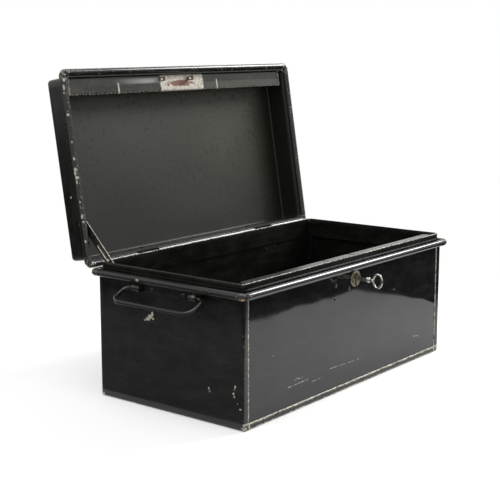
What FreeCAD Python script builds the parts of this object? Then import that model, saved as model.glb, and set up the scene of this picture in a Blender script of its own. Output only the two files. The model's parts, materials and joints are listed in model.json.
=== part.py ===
import FreeCAD, Part
import math
import os

# A small sheet-steel document trunk with a hinged lid, drawn with the lid open.
# Millimetres. Length along X, front towards -Y, up is +Z, origin at the centre of the base's underside.

# Body
body_length = 400.0
body_width = 204.0
sheet = 1.0
body_corner = 3.0
lip_width = 9.0
bottom_lip = 7.5
panel_flange = 8.0

# Rolled rims: one round the body, one round the lid, each over a wire
bead_level = 142.0
bead_radius = 4.0
bead_projection = 8.2
rim_corner = 4.6
bead_skin = 0.8
wire_play = 0.05
rim_gap = 0.4

# Neck that the lid fits over, and the flat deck behind its front edge
neck_clearance = 1.0
neck_rise = 7.4
neck_depth = 24.0
neck_corner = 4.0
deck_depth = 9.0
deck_left_inset = 4.5
deck_right_inset = 19.0
deck_corner = 5.0

# Lid
lid_depth = 35.5
lid_corner = 5.0
lid_edge = 3.0
open_angle = 99.2

# Strip along the inside of the lid's front: a leg on the skirt, a shelf above the neck, a turned-up edge
shelf_depth = 20.0
shelf_end_gap = 5.5
shelf_lift = 1.4
leg_height = 14.0
shelf_return = 4.0
shelf_rivet_inset = 44.0

# Hinges
hinge_setback = 7.2
hinge_x = 110.0
hinge_width = 34.0
hinge_notch_play = 1.0
knuckle_radius = 2.5
hinge_pin_radius = 1.2
running_clearance = 0.05
knuckle_gap = 0.3
# Where a leaf's crank meets the knuckle, in knuckle radii behind and below the pin
crank_outer = (0.55, 0.8)
crank_inner = (-0.4, 0.2)
hinge_pin_cap = 0.7
hinge_pin_cap_lip = 0.5
leaf_reach = 26.0
leaf_crank = 7.5
leaf_cut_gap = 0.2
hinge_rivet_x = 10.0
hinge_rivet_reach = 21.0

# Lid stay
stay_radius_u = 48.0
stay_radius_w = 11.2
stud_drop = 20.0
stay_width = 9.0
stay_thickness = 1.5
stay_offset = 4.4
stud_radius = 1.6
stud_base_radius = 5.0
slide_clearance = 0.3
stay_end = 6.0
pivot_pin_radius = 1.5
collar_radius = 3.0
stay_head = 1.2

# Handles
handle_level = 132.5
wire_radius = 2.4
handle_half_length = 55.0
handle_reach = 27.0
handle_droop = 25.0
handle_inner_bend = 9.0
handle_outer_bend = 12.0
handle_tail = 12.5
clip_width = 10.0
clip_clearance = 0.25
clip_wall = 1.1
plate_margin = 2.5
plate_half_height = 5.0
plate_corner = 3.0
plate_thickness = 1.0
handle_rivet_spacing = 44.0

# Lock, keyhole and key
key_x = 5.0
key_level = 127.0
escutcheon_radius = 9.8
escutcheon_thickness = 1.4
escutcheon_pin_spacing = 15.0
escutcheon_pin_radius = 0.7
escutcheon_pin_head = 1.3
escutcheon_edge = 0.84
keyhole_radius = 2.3
keyslot_width = 2.6
keyslot_drop = 9.8
key_radius = 2.0
key_inside = 8.0
bow_distance = 29.7
bow_half_width = 8.8
bow_half_length = 5.8
bow_wire = 1.25
key_collar_at = 17.0
key_collar_radius = 3.2
key_collar_length = 2.4
bit_length = 9.0
bit_thickness = 1.6
bit_depth = 4.0
bit_from_case = 1.1
case_x0 = -66.0
case_x1 = 30.0
case_z0 = 103.0
case_depth = 10.0
case_wall = 1.0
deck_to_case = 0.4
lock_rivets_xz = [(-34.0, 125.0), (-35.0, 109.0), (-7.0, 117.5)]
cover_screw_inset = 4.0
cover_boss_radius = 2.8
cover_corner = 2.0
cover_screw_length = 5.0
screw_slot = 0.6

# Bolt and the lid's staples
bolt_travel = 7.0
bolt_thickness = 2.2
bolt_from_case = 1.8
spine_height = 7.9
nose_height = 2.4
nose_length = 6.4
hook_post = 4.0
staple_xs = [-45.0, 6.0]
staple_thickness = 1.6
staple_hole_play = 0.45
staple_strap = 1.0
staple_drop = 1.8
slit_play = 0.5
bolt_gap = 0.7
bolt_headroom = 0.1
nose_gap = 1.0
tail_margin = 4.0
# Room round the key's bit in the bolt's tail
window_left = 2.0
window_right = 0.8
window_below = 1.5
window_above = 1.0
guide_pin_radius = 1.0
guide_pin_end = 1.0
guide_xs = [-36.0, -14.0]
spring_thickness = 0.6
spring_rise = 5.0
spring_inset = 4.0
spring_to_tail = 6.0

# Rivets and screws
rivet_radius = 1.2
rivet_head_radius = 2.4
rivet_head = 0.9
rivet_hole_play = 0.05
# The tail's size against the head's
tail_width = 0.85
tail_height = 0.8

# How near an edge lies to a face to count as on it
touch = 0.01

V = FreeCAD.Vector
X = V(1, 0, 0)
Y = V(0, 1, 0)
Z = V(0, 0, 1)
half_l = body_length / 2
half_w = body_width / 2
panel_face = half_w - sheet
wall_top = bead_level - sheet / 2
bead_offset = bead_projection - bead_radius
seat = bead_level + bead_radius + rim_gap / 2
lid_bead_level = seat + rim_gap / 2 + bead_radius
neck_top = seat + neck_rise
neck_x = half_l - sheet - neck_clearance
neck_y = half_w - sheet - neck_clearance
neck_inner_y = neck_y - sheet
hinge_y = half_w + hinge_setback
hinge_point = V(0, hinge_y, seat)
lid_top = seat + lid_depth
shelf_z = neck_top + shelf_lift
case_front = neck_inner_y
case_top = neck_top - sheet - deck_to_case
pivot_out = plate_thickness + clip_wall + clip_clearance + wire_radius
key_face = panel_face
clip_y = handle_half_length - handle_inner_bend - handle_tail / 2
plate_half_length = clip_y + clip_width / 2 + plate_margin


def box(x0, x1, y0, y1, z0, z1):
    return Part.makeBox(x1 - x0, y1 - y0, z1 - z0, V(x0, y0, z0))


def rod(start, direction, radius, length):
    return Part.makeCylinder(radius, length, start, direction)


def joined(shapes):
    whole = shapes[0].multiFuse(shapes[1:]) if len(shapes) > 1 else shapes[0]
    return whole.removeSplitter()


def rounded_face(half_x, half_y, corner, z):
    """A rectangle with rounded corners, flat at height z."""
    edges = []
    corners = [(1, 1, 0), (-1, 1, 90), (-1, -1, 180), (1, -1, 270)]
    points = []
    for sx, sy, turn in corners:
        centre = V(sx * (half_x - corner), sy * (half_y - corner), z)
        a = math.radians(turn)
        start = centre + V(corner * math.cos(a), corner * math.sin(a), 0)
        middle = centre + V(corner * math.cos(a + math.pi / 4), corner * math.sin(a + math.pi / 4), 0)
        end = centre + V(corner * math.cos(a + math.pi / 2), corner * math.sin(a + math.pi / 2), 0)
        points.append((start, middle, end))
    for i, (start, middle, end) in enumerate(points):
        edges.append(Part.Arc(start, middle, end).toShape())
        edges.append(Part.LineSegment(end, points[(i + 1) % 4][0]).toShape())
    return Part.Face(Part.Wire(edges))


def rounded_prism(half_x, half_y, corner, z0, z1):
    return rounded_face(half_x, half_y, corner, z0).extrude(V(0, 0, z1 - z0))


def tube_ring(half_x, half_y, corner, z, radius):
    """A round bar bent into a rounded rectangle, at height z."""
    pieces = []
    straight_x = half_x - corner
    straight_y = half_y - corner
    for side in (-1, 1):
        pieces.append(rod(V(-straight_x, side * half_y, z), X, radius, 2 * straight_x))
        pieces.append(rod(V(side * half_x, -straight_y, z), Y, radius, 2 * straight_y))
    for sx, sy, turn in ((1, 1, 0), (-1, 1, 90), (-1, -1, 180), (1, -1, 270)):
        bend = Part.makeTorus(corner, radius, V(0, 0, 0), Z, -180, 180, 90)
        bend.rotate(V(0, 0, 0), Z, turn)
        bend.translate(V(sx * straight_x, sy * straight_y, z))
        pieces.append(bend)
    return joined(pieces)


def pan(half_x, half_y, corner, z0, z1):
    """A box open at the top, with rounded upright and bottom edges."""
    solid = box(-half_x, half_x, -half_y, half_y, z0, z1)
    edges = [e for e in solid.Edges if e.BoundBox.ZMin < z0 + touch]
    return solid.makeFillet(corner, edges)


def rivet(point, outward, grip, head_radius=rivet_head_radius):
    """A rivet whose domed head sits on the face at point, with its shank going in through grip."""
    dome_radius = (head_radius ** 2 + rivet_head ** 2) / (2 * rivet_head)
    dome = Part.makeSphere(dome_radius, point + outward * (rivet_head - dome_radius))
    head = dome.common(rod(point, outward, head_radius, rivet_head))
    shank = rod(point, outward * -1, rivet_radius, grip)
    tail = rod(point - outward * grip, outward * -1, head_radius * tail_width, rivet_head * tail_height)
    return joined([head, shank, tail])


def rivet_hole(point, outward, grip):
    radius = rivet_radius + rivet_hole_play
    return rod(point + outward * rivet_head, outward * -1, radius, grip + 2 * rivet_head)


def drilled(shape, places):
    """Cuts the holes for rivets given as (point, outward, grip)."""
    for point, outward, grip in places:
        shape = shape.cut(rivet_hole(point, outward, grip))
    return shape


def opened(shape):
    """Turns a lid piece, drawn closed, to its rest pose with the lid open."""
    turned = shape.copy()
    turned.rotate(hinge_point, X, -open_angle)
    return turned


def body_hinge_rivets():
    return [
        (V(side * hinge_x + dx, half_w, seat - hinge_rivet_reach), Y, 2 * sheet)
        for side in (-1, 1)
        for dx in (-hinge_rivet_x, hinge_rivet_x)
    ]


def lid_hinge_rivets():
    return [
        (V(side * hinge_x + dx, half_w + sheet, seat + hinge_rivet_reach), Y, 2 * sheet)
        for side in (-1, 1)
        for dx in (-hinge_rivet_x, hinge_rivet_x)
    ]


def handle_rivets(side):
    outward = V(side, 0, 0)
    point_x = side * (half_l + plate_thickness)
    return [
        (V(point_x, end * handle_rivet_spacing / 2, handle_level), outward, plate_thickness + sheet)
        for end in (-1, 1)
    ]


def lock_rivets():
    grip = key_face - case_front + case_wall
    return [(V(x, -key_face, z), V(0, -1, 0), grip) for x, z in lock_rivets_xz]


def catch_rivets():
    z = shelf_z + leg_height / 2
    reach = half_l - shelf_rivet_inset
    return [(V(reach * k / 2, -half_w, z), V(0, -1, 0), 2 * sheet) for k in (-2, -1, 0, 1, 2)]


def stay_outer_hole():
    """Where the stay's rivet passes the lid's left skirt, lid closed."""
    return V(-half_l, hinge_y - stay_radius_u, seat + stay_radius_w)


def wrapper():
    outer = pan(half_l, half_w, body_corner, 0, wall_top)
    inner = pan(half_l - sheet, half_w - sheet, body_corner - sheet, sheet, wall_top + sheet)
    shell = outer.cut(inner)
    window_x = half_l - lip_width
    for side in (-1, 1):
        y0, y1 = sorted((side * (half_w - sheet), side * (half_w + sheet)))
        shell = shell.cut(box(-window_x, window_x, y0, y1, bottom_lip, wall_top + sheet))
    for side in (-1, 1):
        shell = drilled(shell, handle_rivets(side))
    return shell


def end_pan(side):
    """The front or back panel: a flanged pan nested behind the wrapper's lips."""
    outer = pan(half_l - sheet, half_w - sheet, body_corner - sheet, sheet, wall_top)
    inner = pan(half_l - 2 * sheet, half_w - 2 * sheet, body_corner - 2 * sheet,
                2 * sheet, wall_top + sheet)
    y0, y1 = sorted((side * (half_w - panel_flange), side * half_w))
    return outer.cut(inner).common(box(-half_l, half_l, y0, y1, 0, wall_top))


def keyhole(y0, y1):
    round_part = rod(V(key_x, y0, key_level), Y, keyhole_radius, y1 - y0)
    half = keyslot_width / 2
    slot = box(key_x - half, key_x + half, y0, y1, key_level - keyslot_drop, key_level)
    return joined([round_part, slot])


def front_panel():
    panel = drilled(end_pan(-1), lock_rivets())
    return panel.cut(keyhole(-half_w, -neck_inner_y))


def back_panel():
    return drilled(end_pan(1), body_hinge_rivets())


def neck():
    z0 = neck_top - neck_depth
    outer = rounded_prism(neck_x, neck_y, neck_corner, z0, neck_top)
    inner = rounded_prism(neck_x - sheet, neck_y - sheet, neck_corner - sheet,
                          z0 - sheet, neck_top + sheet)
    return outer.cut(inner)


def hinge_notches(face, z0, z1):
    reach = hinge_width / 2 + hinge_notch_play
    return [
        box(side * hinge_x - reach, side * hinge_x + reach, face, hinge_y + 4 * bead_radius, z0, z1)
        for side in (-1, 1)
    ]


def bead_path():
    return half_l + bead_offset, half_w + bead_offset, rim_corner


def rolled_rim(level, inner_x, inner_y, inner_corner, face):
    """A flat web round the walls, rolled at its edge over a wire, and cut away behind the hinges."""
    path_x, path_y, path_corner = bead_path()
    web = rounded_prism(path_x, path_y, path_corner, level - sheet / 2, level + sheet / 2)
    web = web.cut(rounded_prism(inner_x, inner_y, inner_corner, level - sheet, level + sheet))
    rim = joined([web, tube_ring(path_x, path_y, path_corner, level, bead_radius)])
    rim = rim.cut(tube_ring(path_x, path_y, path_corner, level, bead_radius - bead_skin))
    for notch in hinge_notches(face, level - 2 * bead_radius, level + 2 * bead_radius):
        rim = rim.cut(notch)
    return rim


def rim_core(level, face):
    path_x, path_y, path_corner = bead_path()
    wire = tube_ring(path_x, path_y, path_corner, level, bead_radius - bead_skin - wire_play)
    for notch in hinge_notches(face, level - 2 * bead_radius, level + 2 * bead_radius):
        wire = wire.cut(notch)
    return wire


def lock_deck():
    x0 = -neck_x + deck_left_inset
    x1 = neck_x - deck_right_inset
    y0 = -neck_inner_y
    y1 = y0 + deck_depth
    z0 = neck_top - sheet
    plate = box(x0, x1, y0, y1, z0, neck_top)
    inner_edges = [
        e for e in plate.Edges
        if e.BoundBox.ZLength > sheet / 2 and e.BoundBox.YMin > y1 - touch
    ]
    plate = plate.makeFillet(deck_corner, inner_edges)
    slit = staple_thickness / 2 + slit_play
    front, back = staple_span()
    for x in staple_xs:
        plate = plate.cut(box(x - slit, x + slit, front - slit_play, y1 + sheet,
                              z0 - sheet, neck_top + sheet))
    return plate


def hinge_leaf(side, mirror):
    """One leaf, drawn below the seat. mirror flips it above the seat for the lid, on the lid's skirt."""
    face = panel_face + (sheet if mirror else 0)
    half = hinge_width / 2
    profile = [
        V(0, face, seat - leaf_reach),
        V(0, face + sheet, seat - leaf_reach),
        V(0, face + sheet, seat - leaf_crank - sheet),
        V(0, hinge_y + knuckle_radius * crank_outer[0], seat - knuckle_radius * crank_outer[1]),
        V(0, hinge_y + knuckle_radius * crank_inner[0], seat - knuckle_radius * crank_inner[1]),
        V(0, face, seat - leaf_crank),
    ]
    plate = Part.Face(Part.makePolygon(profile + [profile[0]])).extrude(V(2 * half, 0, 0))
    plate.translate(V(-half, 0, 0))
    knuckle = rod(V(-half, hinge_y, seat), X, knuckle_radius, 2 * half)
    leaf = joined([plate, knuckle])
    bore = hinge_pin_radius + running_clearance
    leaf = leaf.cut(rod(V(-half - 1, hinge_y, seat), X, bore, 2 * half + 2))
    third = hinge_width / 6
    cut_from = face + sheet + leaf_cut_gap
    z0 = seat - leaf_crank - sheet / 2
    z1 = seat + knuckle_radius + sheet
    if mirror:
        for end in (-1, 1):
            x0, x1 = sorted((end * (third - knuckle_gap / 2), end * (half + 1)))
            leaf = leaf.cut(box(x0, x1, cut_from, hinge_y + 2 * knuckle_radius, z0, z1))
    else:
        gap = third + knuckle_gap / 2
        leaf = leaf.cut(box(-gap, gap, cut_from, hinge_y + 2 * knuckle_radius, z0, z1))
    if mirror:
        leaf = leaf.mirror(V(0, 0, seat), Z)
    leaf.translate(V(side * hinge_x, 0, 0))
    return leaf


def hinge_leaves_body():
    leaves = [hinge_leaf(side, False) for side in (-1, 1)]
    return [drilled(leaf, body_hinge_rivets()) for leaf in leaves]


def hinge_leaves_lid():
    leaves = [hinge_leaf(side, True) for side in (-1, 1)]
    return [opened(drilled(leaf, lid_hinge_rivets())) for leaf in leaves]


def hinge_pins():
    pins = []
    cap = hinge_pin_radius + hinge_pin_cap_lip
    for side in (-1, 1):
        start = V(side * hinge_x - hinge_width / 2, hinge_y, seat)
        pin = rod(start, X, hinge_pin_radius, hinge_width)
        ends = [
            rod(start - X * hinge_pin_cap, X, cap, hinge_pin_cap),
            rod(start + X * hinge_width, X, cap, hinge_pin_cap),
        ]
        pins.append(joined([pin] + ends))
    return pins


def lid_panel_closed():
    return rounded_prism(half_l - lid_edge, half_w - lid_edge, lid_corner - lid_edge, lid_top - sheet, lid_top)


def lid_panel():
    """The flat top of the lid, seamed to the skirt all round."""
    return opened(lid_panel_closed())


def lid_skirt():
    """The lid's four sides, rounded in at the top to meet the panel."""
    base = lid_bead_level + sheet / 2
    outer = box(-half_l, half_l, -half_w, half_w, base, lid_top)
    inner = box(-half_l + sheet, half_l - sheet, -half_w + sheet, half_w - sheet,
                base - sheet, lid_top - sheet)
    shells = []
    for solid, inset in ((outer, 0), (inner, sheet)):
        upright = [e for e in solid.Edges if e.BoundBox.ZLength > lid_depth / 2]
        solid = solid.makeFillet(lid_corner - inset, upright)
        top = solid.BoundBox.ZMax
        edges = [e for e in solid.Edges if e.BoundBox.ZMin > top - touch]
        shells.append(solid.makeFillet(lid_edge - inset, edges))
    skirt = shells[0].cut(shells[1]).cut(lid_panel_closed())
    skirt = drilled(skirt, lid_hinge_rivets() + catch_rivets())
    hole = rod(stay_outer_hole() - X, X, pivot_pin_radius + rivet_hole_play, 2 * sheet + 2)
    return opened(skirt.cut(hole))


def lid_rim():
    inner = (half_l - sheet, half_w - sheet, lid_corner - sheet)
    return opened(rolled_rim(lid_bead_level, *inner, half_w))


def lid_wire():
    return opened(rim_core(lid_bead_level, half_w))


def catch_strip():
    """Runs the lid's whole length above the neck and carries the staples."""
    reach = half_l - shelf_end_gap
    y0 = -half_w + sheet
    y1 = y0 + shelf_depth
    strip = joined([
        box(-reach, reach, y0, y1, shelf_z, shelf_z + sheet),
        box(-reach, reach, y0, y0 + sheet, shelf_z, shelf_z + leg_height),
        box(-reach, reach, y1 - sheet, y1, shelf_z, shelf_z + shelf_return),
    ])
    return opened(drilled(strip, catch_rivets()))


def nose_z():
    """Lower and upper face of the bolt's noses."""
    top = case_top - case_wall - bolt_headroom
    return top - nose_height, top


def nose_y():
    y0 = -case_front + case_wall + bolt_from_case
    return y0, y0 + bolt_thickness


def staple_span():
    """Front and back of a staple's lower end, with a hole for the bolt's nose between."""
    y0, y1 = nose_y()
    return y0 - staple_hole_play - staple_strap, y1 + staple_hole_play + staple_strap


def catch_staples():
    """Two tabs under the strip, square to the front, each with a hole that the bolt's nose enters."""
    z_low, z_high = nose_z()
    y0, y1 = nose_y()
    front, back = staple_span()
    low = seat - staple_drop
    tabs = []
    for x in staple_xs:
        x0 = x - staple_thickness / 2
        x1 = x + staple_thickness / 2
        tab = box(x0, x1, front, back, low, shelf_z)
        hole = box(
            x0 - 1, x1 + 1, y0 - staple_hole_play, y1 + staple_hole_play,
            z_low - staple_hole_play, z_high + staple_hole_play,
        )
        tabs.append(opened(tab.cut(hole)))
    return tabs


def stay_points():
    """The stay's rivet with the lid open, and the stud at the same distance from the hinge."""
    radius = math.hypot(stay_radius_u, stay_radius_w)
    rivet_point = V(0, hinge_y - stay_radius_u, seat + stay_radius_w)
    turned = FreeCAD.Rotation(X, -open_angle).multVec(rivet_point - V(0, hinge_y, seat))
    pivot = V(0, hinge_y, seat) + turned
    stud = V(0, hinge_y - math.sqrt(radius ** 2 - stud_drop ** 2), seat - stud_drop)
    return pivot, stud, radius


def stay_planes():
    """X of the strip's two faces."""
    x0 = -half_l + stay_offset
    return x0, x0 + stay_thickness


def stay_strip():
    pivot, stud, radius = stay_points()
    x0, x1 = stay_planes()
    span = (stud - pivot).Length
    opening = 2 * math.degrees(math.asin(span / (2 * radius)))
    closed_span = 2 * radius * math.sin(math.radians((opening - open_angle) / 2))
    half = stay_width / 2
    end = span + stay_end
    strip = joined([
        box(x0, x1, 0, end, -half, half),
        rod(V(x0, 0, 0), X, half, x1 - x0),
        rod(V(x0, end, 0), X, half, x1 - x0),
    ])
    slot_half = stud_radius + slide_clearance
    slot = joined([
        box(x0 - 1, x1 + 1, closed_span - slide_clearance, span, -slot_half, slot_half),
        rod(V(x0 - 1, closed_span - slide_clearance, 0), X, slot_half, x1 - x0 + 2),
        rod(V(x0 - 1, span, 0), X, slot_half, x1 - x0 + 2),
    ])
    hole = rod(V(x0 - 1, 0, 0), X, pivot_pin_radius + running_clearance, x1 - x0 + 2)
    strip = strip.cut(slot).cut(hole)
    along = stud - pivot
    strip.rotate(V(0, 0, 0), X, math.degrees(math.atan2(along.z, along.y)))
    strip.translate(V(0, pivot.y, pivot.z))
    return strip


def stay_rivet():
    pivot, stud, radius = stay_points()
    x0, x1 = stay_planes()
    at = V(-half_l, pivot.y, pivot.z)
    inner = -half_l + sheet
    return joined([
        rod(at - X * stay_head, X, collar_radius, stay_head),
        rod(at, X, pivot_pin_radius, x1 + slide_clearance + half_l),
        rod(V(inner, pivot.y, pivot.z), X, collar_radius, x0 - slide_clearance - inner),
        rod(V(x1 + slide_clearance, pivot.y, pivot.z), X, collar_radius, stay_head),
    ])


def stay_stud():
    pivot, stud, radius = stay_points()
    x0, x1 = stay_planes()
    inner = -half_l + sheet
    base = V(inner, stud.y, stud.z)
    return joined([
        rod(base, X, stud_base_radius, sheet),
        rod(base, X, collar_radius, x0 - slide_clearance - inner),
        rod(base, X, stud_radius, x1 + slide_clearance - inner),
        rod(V(x1 + slide_clearance, stud.y, stud.z), X, collar_radius, stay_head),
    ])


def handle_plate(side):
    x0, x1 = sorted((side * half_l, side * (half_l + plate_thickness)))
    plate = box(x0, x1, -plate_half_length, plate_half_length,
                handle_level - plate_half_height, handle_level + plate_half_height)
    corners = [e for e in plate.Edges if e.BoundBox.XLength > plate_thickness / 2]
    return drilled(plate.makeFillet(plate_corner, corners), handle_rivets(side))


def handle_clips(side):
    """Two bent straps round the handle's tails."""
    face = half_l + plate_thickness
    bore = wire_radius + clip_clearance
    outer = bore + clip_wall
    clips = []
    for end in (-1, 1):
        y0 = end * clip_y - clip_width / 2
        centre = V(half_l + pivot_out, y0, handle_level)
        strap = rod(centre, Y, outer, clip_width)
        foot = box(face, half_l + pivot_out, y0, y0 + clip_width,
                   handle_level - outer, handle_level + outer)
        clip = joined([strap, foot]).cut(rod(centre - Y, Y, bore, clip_width + 2))
        if side < 0:
            clip = clip.mirror(V(0, 0, 0), X)
        clips.append(clip)
    return clips


def handle_bail(side):
    """Round wire: two tails in the clips, two arms and the grip between, drooping below level."""
    bend_in = handle_inner_bend
    bend_out = handle_outer_bend
    tail_end = handle_half_length - bend_in - handle_tail
    pieces = [
        rod(V(handle_reach, -(handle_half_length - bend_out), 0), Y, wire_radius,
            2 * (handle_half_length - bend_out))
    ]
    for end in (-1, 1):
        arm_y = end * handle_half_length
        tail_start = min(end * tail_end, end * (handle_half_length - bend_in))
        pieces.append(rod(V(0, tail_start, 0), Y, wire_radius, handle_tail))
        pieces.append(rod(V(bend_in, arm_y, 0), X, wire_radius, handle_reach - bend_in - bend_out))
        inner = Part.makeTorus(bend_in, wire_radius, V(0, 0, 0), Z, -180, 180, 90)
        inner.rotate(V(0, 0, 0), Z, 90 if end > 0 else 180)
        inner.translate(V(bend_in, end * (handle_half_length - bend_in), 0))
        outer = Part.makeTorus(bend_out, wire_radius, V(0, 0, 0), Z, -180, 180, 90)
        outer.rotate(V(0, 0, 0), Z, 0 if end > 0 else 270)
        outer.translate(V(handle_reach - bend_out, end * (handle_half_length - bend_out), 0))
        pieces += [inner, outer]
    bail = joined(pieces)
    bail.rotate(V(0, 0, 0), Y, handle_droop)
    bail.translate(V(half_l + pivot_out, 0, handle_level))
    if side < 0:
        bail = bail.mirror(V(0, 0, 0), X)
    return bail


def cover_screws_xz():
    inset = cover_screw_inset
    return [
        (x, z)
        for x in (case_x0 + inset, case_x1 - inset)
        for z in (case_z0 + inset, case_top - inset)
    ]


def lock_case():
    """A tray behind the neck, open at the back, with a corner boss for each cover screw."""
    y0 = -case_front
    y1 = y0 + case_depth
    outer = box(case_x0, case_x1, y0, y1, case_z0, case_top)
    inner = box(case_x0 + case_wall, case_x1 - case_wall, y0 + case_wall, y1 + 1,
                case_z0 + case_wall, case_top - case_wall)
    bosses = [rod(V(x, y0, z), Y, cover_boss_radius, case_depth) for x, z in cover_screws_xz()]
    case = joined([outer.cut(inner)] + bosses)
    for x, z in cover_screws_xz():
        case = case.cut(rod(V(x, y0 + case_wall, z), Y, rivet_radius + rivet_hole_play, case_depth))
    front, back = staple_span()
    slit = staple_thickness / 2 + slit_play
    for x in staple_xs:
        case = case.cut(box(x - slit, x + slit, front - slit_play, back + slit_play,
                            case_top - 2 * case_wall, case_top + 1))
    for x in guide_xs:
        case = case.cut(guide_pin(x, rivet_hole_play))
    case = case.cut(keyhole(y0 - 1, y0 + case_wall + 1))
    return drilled(case, lock_rivets())


def lock_cover():
    y0 = -case_front + case_depth
    plate = box(case_x0, case_x1, y0, y0 + case_wall, case_z0, case_top)
    corners = [e for e in plate.Edges if e.BoundBox.YLength > case_wall / 2]
    plate = plate.makeFillet(cover_corner, corners)
    for x, z in cover_screws_xz():
        plate = plate.cut(rod(V(x, y0 - 1, z), Y, rivet_radius + rivet_hole_play, case_wall + 2))
    return plate


def cover_screws():
    y0 = -case_front + case_depth + case_wall
    screws = []
    for x, z in cover_screws_xz():
        shank = rod(V(x, y0 - cover_screw_length, z), Y, rivet_radius, cover_screw_length)
        head = rod(V(x, y0, z), Y, rivet_head_radius, rivet_head)
        slot = box(x - rivet_head_radius, x + rivet_head_radius, y0 + rivet_head / 2, y0 + 2 * rivet_head,
                   z - screw_slot / 2, z + screw_slot / 2)
        screws.append(joined([shank, head]).cut(slot))
    return screws


def guide_z():
    """Middle of the bolt's guide slots, and top of its spine."""
    spine_top = seat - staple_drop - bolt_gap
    return spine_top - spine_height / 2, spine_top


def guide_pin(x, play=0.0):
    """A pin in the case's front plate that the bolt's slot runs on."""
    z, spine_top = guide_z()
    y0 = -case_front
    length = case_wall + bolt_from_case + bolt_thickness + guide_pin_end
    return rod(V(x, y0 - play, z), Y, guide_pin_radius + play, length)


def bolt():
    """A spine with two hooked noses on top and a framed tail round the key's bit."""
    y0, y1 = nose_y()
    z_low, z_high = nose_z()
    guide_level, spine_top = guide_z()
    spine_low = spine_top - spine_height
    left = staple_xs[0] - staple_thickness / 2 - nose_gap
    noses = []
    for x in staple_xs:
        tip = x - staple_thickness / 2 - nose_gap
        post = tip - nose_length
        noses.append(box(post - hook_post, post, y0, y1, spine_top - sheet, z_high))
        noses.append(box(post - sheet, tip, y0, y1, z_low, z_high))
    start = left - nose_length - hook_post
    tail_x0 = key_x - bolt_travel - bit_thickness - window_left
    tail_x1 = key_x + bit_length - bolt_travel + bit_thickness + window_right
    tail_z0 = key_level - bit_length - window_below
    tail_z1 = key_level + key_radius + window_above
    plate_x0 = tail_x0 - tail_margin
    plate_x1 = tail_x1 + tail_margin
    spine = box(start, plate_x1, y0, y1, spine_low, spine_top)
    tail = box(plate_x0, plate_x1, y0, y1, tail_z0 - tail_margin, spine_low + sheet)
    window = box(tail_x0, tail_x1, y0 - 1, y1 + 1, tail_z0, tail_z1)
    whole = joined([spine, tail] + noses).cut(window)
    run = guide_pin_radius + slide_clearance
    for x in guide_xs:
        slot = joined([
            box(x - bolt_travel, x, y0 - 1, y1 + 1, guide_level - run, guide_level + run),
            rod(V(x - bolt_travel, y0 - 1, guide_level), Y, run, bolt_thickness + 2),
            rod(V(x, y0 - 1, guide_level), Y, run, bolt_thickness + 2),
        ])
        whole = whole.cut(slot)
    return whole


def detent_spring():
    """A bowed leaf under the bolt's spine that keeps it from sliding by itself."""
    y0, y1 = nose_y()
    guide_level, spine_top = guide_z()
    top = spine_top - spine_height - slide_clearance
    x0 = case_x0 + case_wall + spring_inset
    x1 = key_x - bolt_travel - bit_thickness - window_left - tail_margin - spring_to_tail
    middle = (x0 + x1) / 2
    low = top - spring_rise
    drop = V(0, 0, -spring_thickness)
    bow = [V(x0, y0, low), V(middle, y0, top), V(x1, y0, low)]
    upper = Part.Arc(*bow).toShape()
    lower = Part.Arc(*[point + drop for point in bow]).toShape()
    ends = [Part.LineSegment(point, point + drop).toShape() for point in (bow[0], bow[2])]
    leaf = Part.Face(Part.Wire(Part.__sortEdges__([upper, lower] + ends))).extrude(V(0, bolt_thickness, 0))
    wall = case_x0 + case_wall
    foot = box(wall, x0 + case_wall, y0, y1, low - spring_thickness - case_wall, low)
    return joined([leaf, foot])


def escutcheon():
    face = -key_face
    disc = rod(V(key_x, face, key_level), V(0, -1, 0), escutcheon_radius, escutcheon_thickness)
    outer = [e for e in disc.Edges if e.BoundBox.YMax < face - escutcheon_thickness + touch]
    disc = disc.makeFillet(escutcheon_edge, outer)
    disc = disc.cut(keyhole(face - 2 * escutcheon_thickness, face + 1))
    pin_hole = escutcheon_pin_radius + rivet_hole_play
    for x in escutcheon_pin_xs():
        hole = rod(V(x, face + 1, key_level), V(0, -1, 0), pin_hole, escutcheon_thickness + 2)
        disc = disc.cut(hole)
    return disc


def escutcheon_pin_xs():
    return [key_x + side * escutcheon_pin_spacing / 2 for side in (-1, 1)]


def escutcheon_pins():
    face = -key_face
    pins = []
    for x in escutcheon_pin_xs():
        top = V(x, face - escutcheon_thickness, key_level)
        shank = rod(top, Y, escutcheon_pin_radius, escutcheon_thickness)
        outside = rod(top, V(0, -1, 0), escutcheon_pin_head, escutcheon_pin_head)
        head = Part.makeSphere(escutcheon_pin_head, top).common(outside)
        pins.append(joined([shank, head]))
    return pins


def key():
    """Shank, bit, collar and an oval bow, in one piece, with the bit pointing down."""
    face = -key_face
    bow_y = face - bow_distance
    bow_end = bow_y + bow_half_length
    inside = -case_front + key_inside
    pieces = [rod(V(key_x, bow_end, key_level), Y, key_radius, inside - bow_end)]
    bit_y = -case_front + case_wall + bit_from_case
    half = bit_thickness / 2
    pieces.append(box(key_x - half, key_x + half, bit_y, bit_y + bit_depth,
                      key_level - bit_length, key_level))
    collar_y = face - key_collar_at - key_collar_length
    pieces.append(rod(V(key_x, collar_y, key_level), Y, key_collar_radius, key_collar_length))
    straight = bow_half_width - bow_half_length
    for side in (-1, 1):
        low_end = V(key_x, bow_y + side * bow_half_length, key_level - straight)
        pieces.append(rod(low_end, Z, bow_wire, 2 * straight))
        bend = Part.makeTorus(bow_half_length, bow_wire, V(0, 0, 0), X, -180, 180, 180)
        quarter = bend.BoundBox.Center
        bend.rotate(V(0, 0, 0), X, math.degrees(math.atan2(side, 0) - math.atan2(quarter.z, quarter.y)))
        bend.translate(V(key_x, bow_y, key_level + side * straight))
        pieces.append(bend)
    return joined(pieces)


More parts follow.
